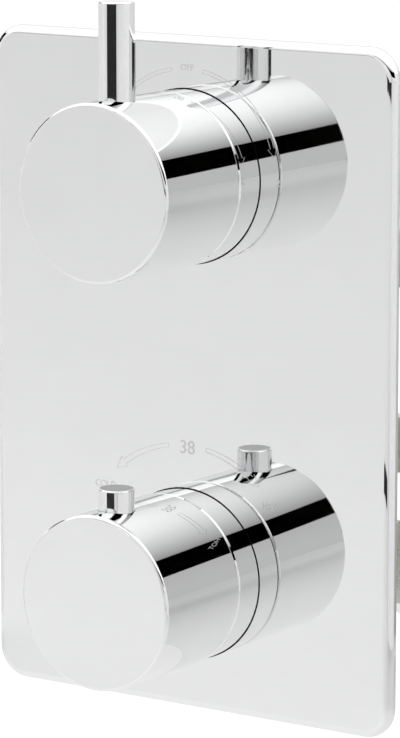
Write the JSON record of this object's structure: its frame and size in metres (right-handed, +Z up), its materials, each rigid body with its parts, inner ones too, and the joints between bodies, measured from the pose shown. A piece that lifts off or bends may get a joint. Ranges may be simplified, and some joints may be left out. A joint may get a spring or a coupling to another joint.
{
  "type": "thermostatic shower valve",
  "caption": "Concealed thermostatic shower valve: rectangular wall plate with a lever knob above and a temperature knob below, on a cast in-wall body with both cartridges.",
  "frame": {"origin": "middle of the four fixing holes, on the plane screwed to the building", "axes": "+Z up, -Y out of the wall towards the user, +X to the user's right"},
  "size_m": [0.148, 0.129, 0.223],
  "materials": {
    "chrome": "polished",
    "cast_brass": "as cast",
    "brass": "machined",
    "spring_steel": "drawn",
    "steel": "machined",
    "copper": "drawn",
    "black_plastic": "moulded",
    "white_plastic": "moulded",
    "grey_plastic": "moulded",
    "rubber": "moulded",
    "foam": "closed cell",
    "white_ceramic": "lapped",
    "grey_ceramic": "lapped"
  },
  "bodies": {
    "fixed": {"valve_body": "cast_brass", "wall_plate": "chrome", "plate_seal": "foam", "upper_grommet": "rubber", "lower_grommet": "rubber", "upper_sleeve": "chrome", "lower_sleeve": "chrome", "upper_cartridge_nut": "brass", "lower_cartridge_nut": "brass", "stop_ring": "white_plastic", "thermostat_housing": "brass", "thermostat_base": "black_plastic", "thermostat_o_rings": "rubber", "return_spring": "spring_steel", "diverter_bonnet": "brass", "diverter_o_ring": "rubber", "diverter_carrier": "black_plastic", "carrier_seal": "rubber", "fixed_disc": "white_ceramic", "hot_check_housing": "white_plastic", "hot_check_guide": "white_plastic", "hot_check_o_ring": "rubber", "hot_check_spring": "spring_steel", "hot_inlet_filter": "steel", "cold_check_housing": "white_plastic", "cold_check_guide": "white_plastic", "cold_check_o_ring": "rubber", "cold_check_spring": "spring_steel", "cold_inlet_filter": "steel"},
    "upper_lever": {"upper_knob": "chrome", "lever_pin": "chrome", "upper_spline_insert": "white_plastic", "upper_grub_screw": "steel", "diverter_spindle": "brass", "diverter_spindle_seals": "rubber", "diverter_spindle_clip": "spring_steel", "moving_disc": "grey_ceramic"},
    "temperature_knob": {"lower_knob": "chrome", "lower_spline_insert": "white_plastic", "lower_grub_screw": "steel", "override_spring": "spring_steel", "thermostat_spindle": "brass", "thermostat_spindle_seals": "rubber", "thermostat_spindle_clip": "spring_steel"},
    "button": {"override_button": "chrome", "stop_key": "steel"},
    "drive": {"drive_nut": "brass", "overtravel_plunger": "steel", "overtravel_spring": "spring_steel", "overtravel_clip": "spring_steel", "wax_piston": "steel"},
    "regulator": {"wax_element": "copper", "shuttle": "grey_plastic"},
    "hot_poppet": {"hot_check_poppet": "black_plastic"},
    "cold_poppet": {"cold_check_poppet": "black_plastic"}
  },
  "joints": [
    {"name": "lever_turn", "type": "hinge", "parent": "fixed", "child": "upper_lever", "pos_m": [0, -0.1, 0.062], "axis": [0, 1, 0], "range_deg": [-90, 90]},
    {"name": "temperature_turn", "type": "hinge", "parent": "fixed", "child": "temperature_knob", "pos_m": [0, -0.1, -0.062], "axis": [0, 1, 0], "range_deg": [-60, 60]},
    {"name": "override_press", "type": "slide", "parent": "temperature_knob", "child": "button", "axis": [0, 0, -1], "range_m": [0, 0.003], "stiffness_N_per_m": 900, "springref_m": -0.003, "deforming": ["override_spring"]},
    {"name": "drive_slide", "type": "slide", "parent": "fixed", "child": "drive", "axis": [0, 1, 0], "range_m": [-0.00045, 0.00045]},
    {"name": "wax_stroke", "type": "slide", "parent": "drive", "child": "regulator", "axis": [0, 1, 0], "range_m": [-0.0005, 0.0007], "stiffness_N_per_m": 2000, "deforming": ["return_spring"]},
    {"name": "hot_check_lift", "type": "slide", "parent": "fixed", "child": "hot_poppet", "axis": [1, 0, 0], "range_m": [0, 0.0025], "stiffness_N_per_m": 60, "springref_m": -0.002, "deforming": ["hot_check_spring"]},
    {"name": "cold_check_lift", "type": "slide", "parent": "fixed", "child": "cold_poppet", "axis": [-1, 0, 0], "range_m": [0, 0.0025], "stiffness_N_per_m": 60, "springref_m": -0.002, "deforming": ["cold_check_spring"]}
  ],
  "couplings": [
    {"joint": "drive_slide", "follows": "temperature_turn", "m_per_rad": -0.00039789}
  ]
}
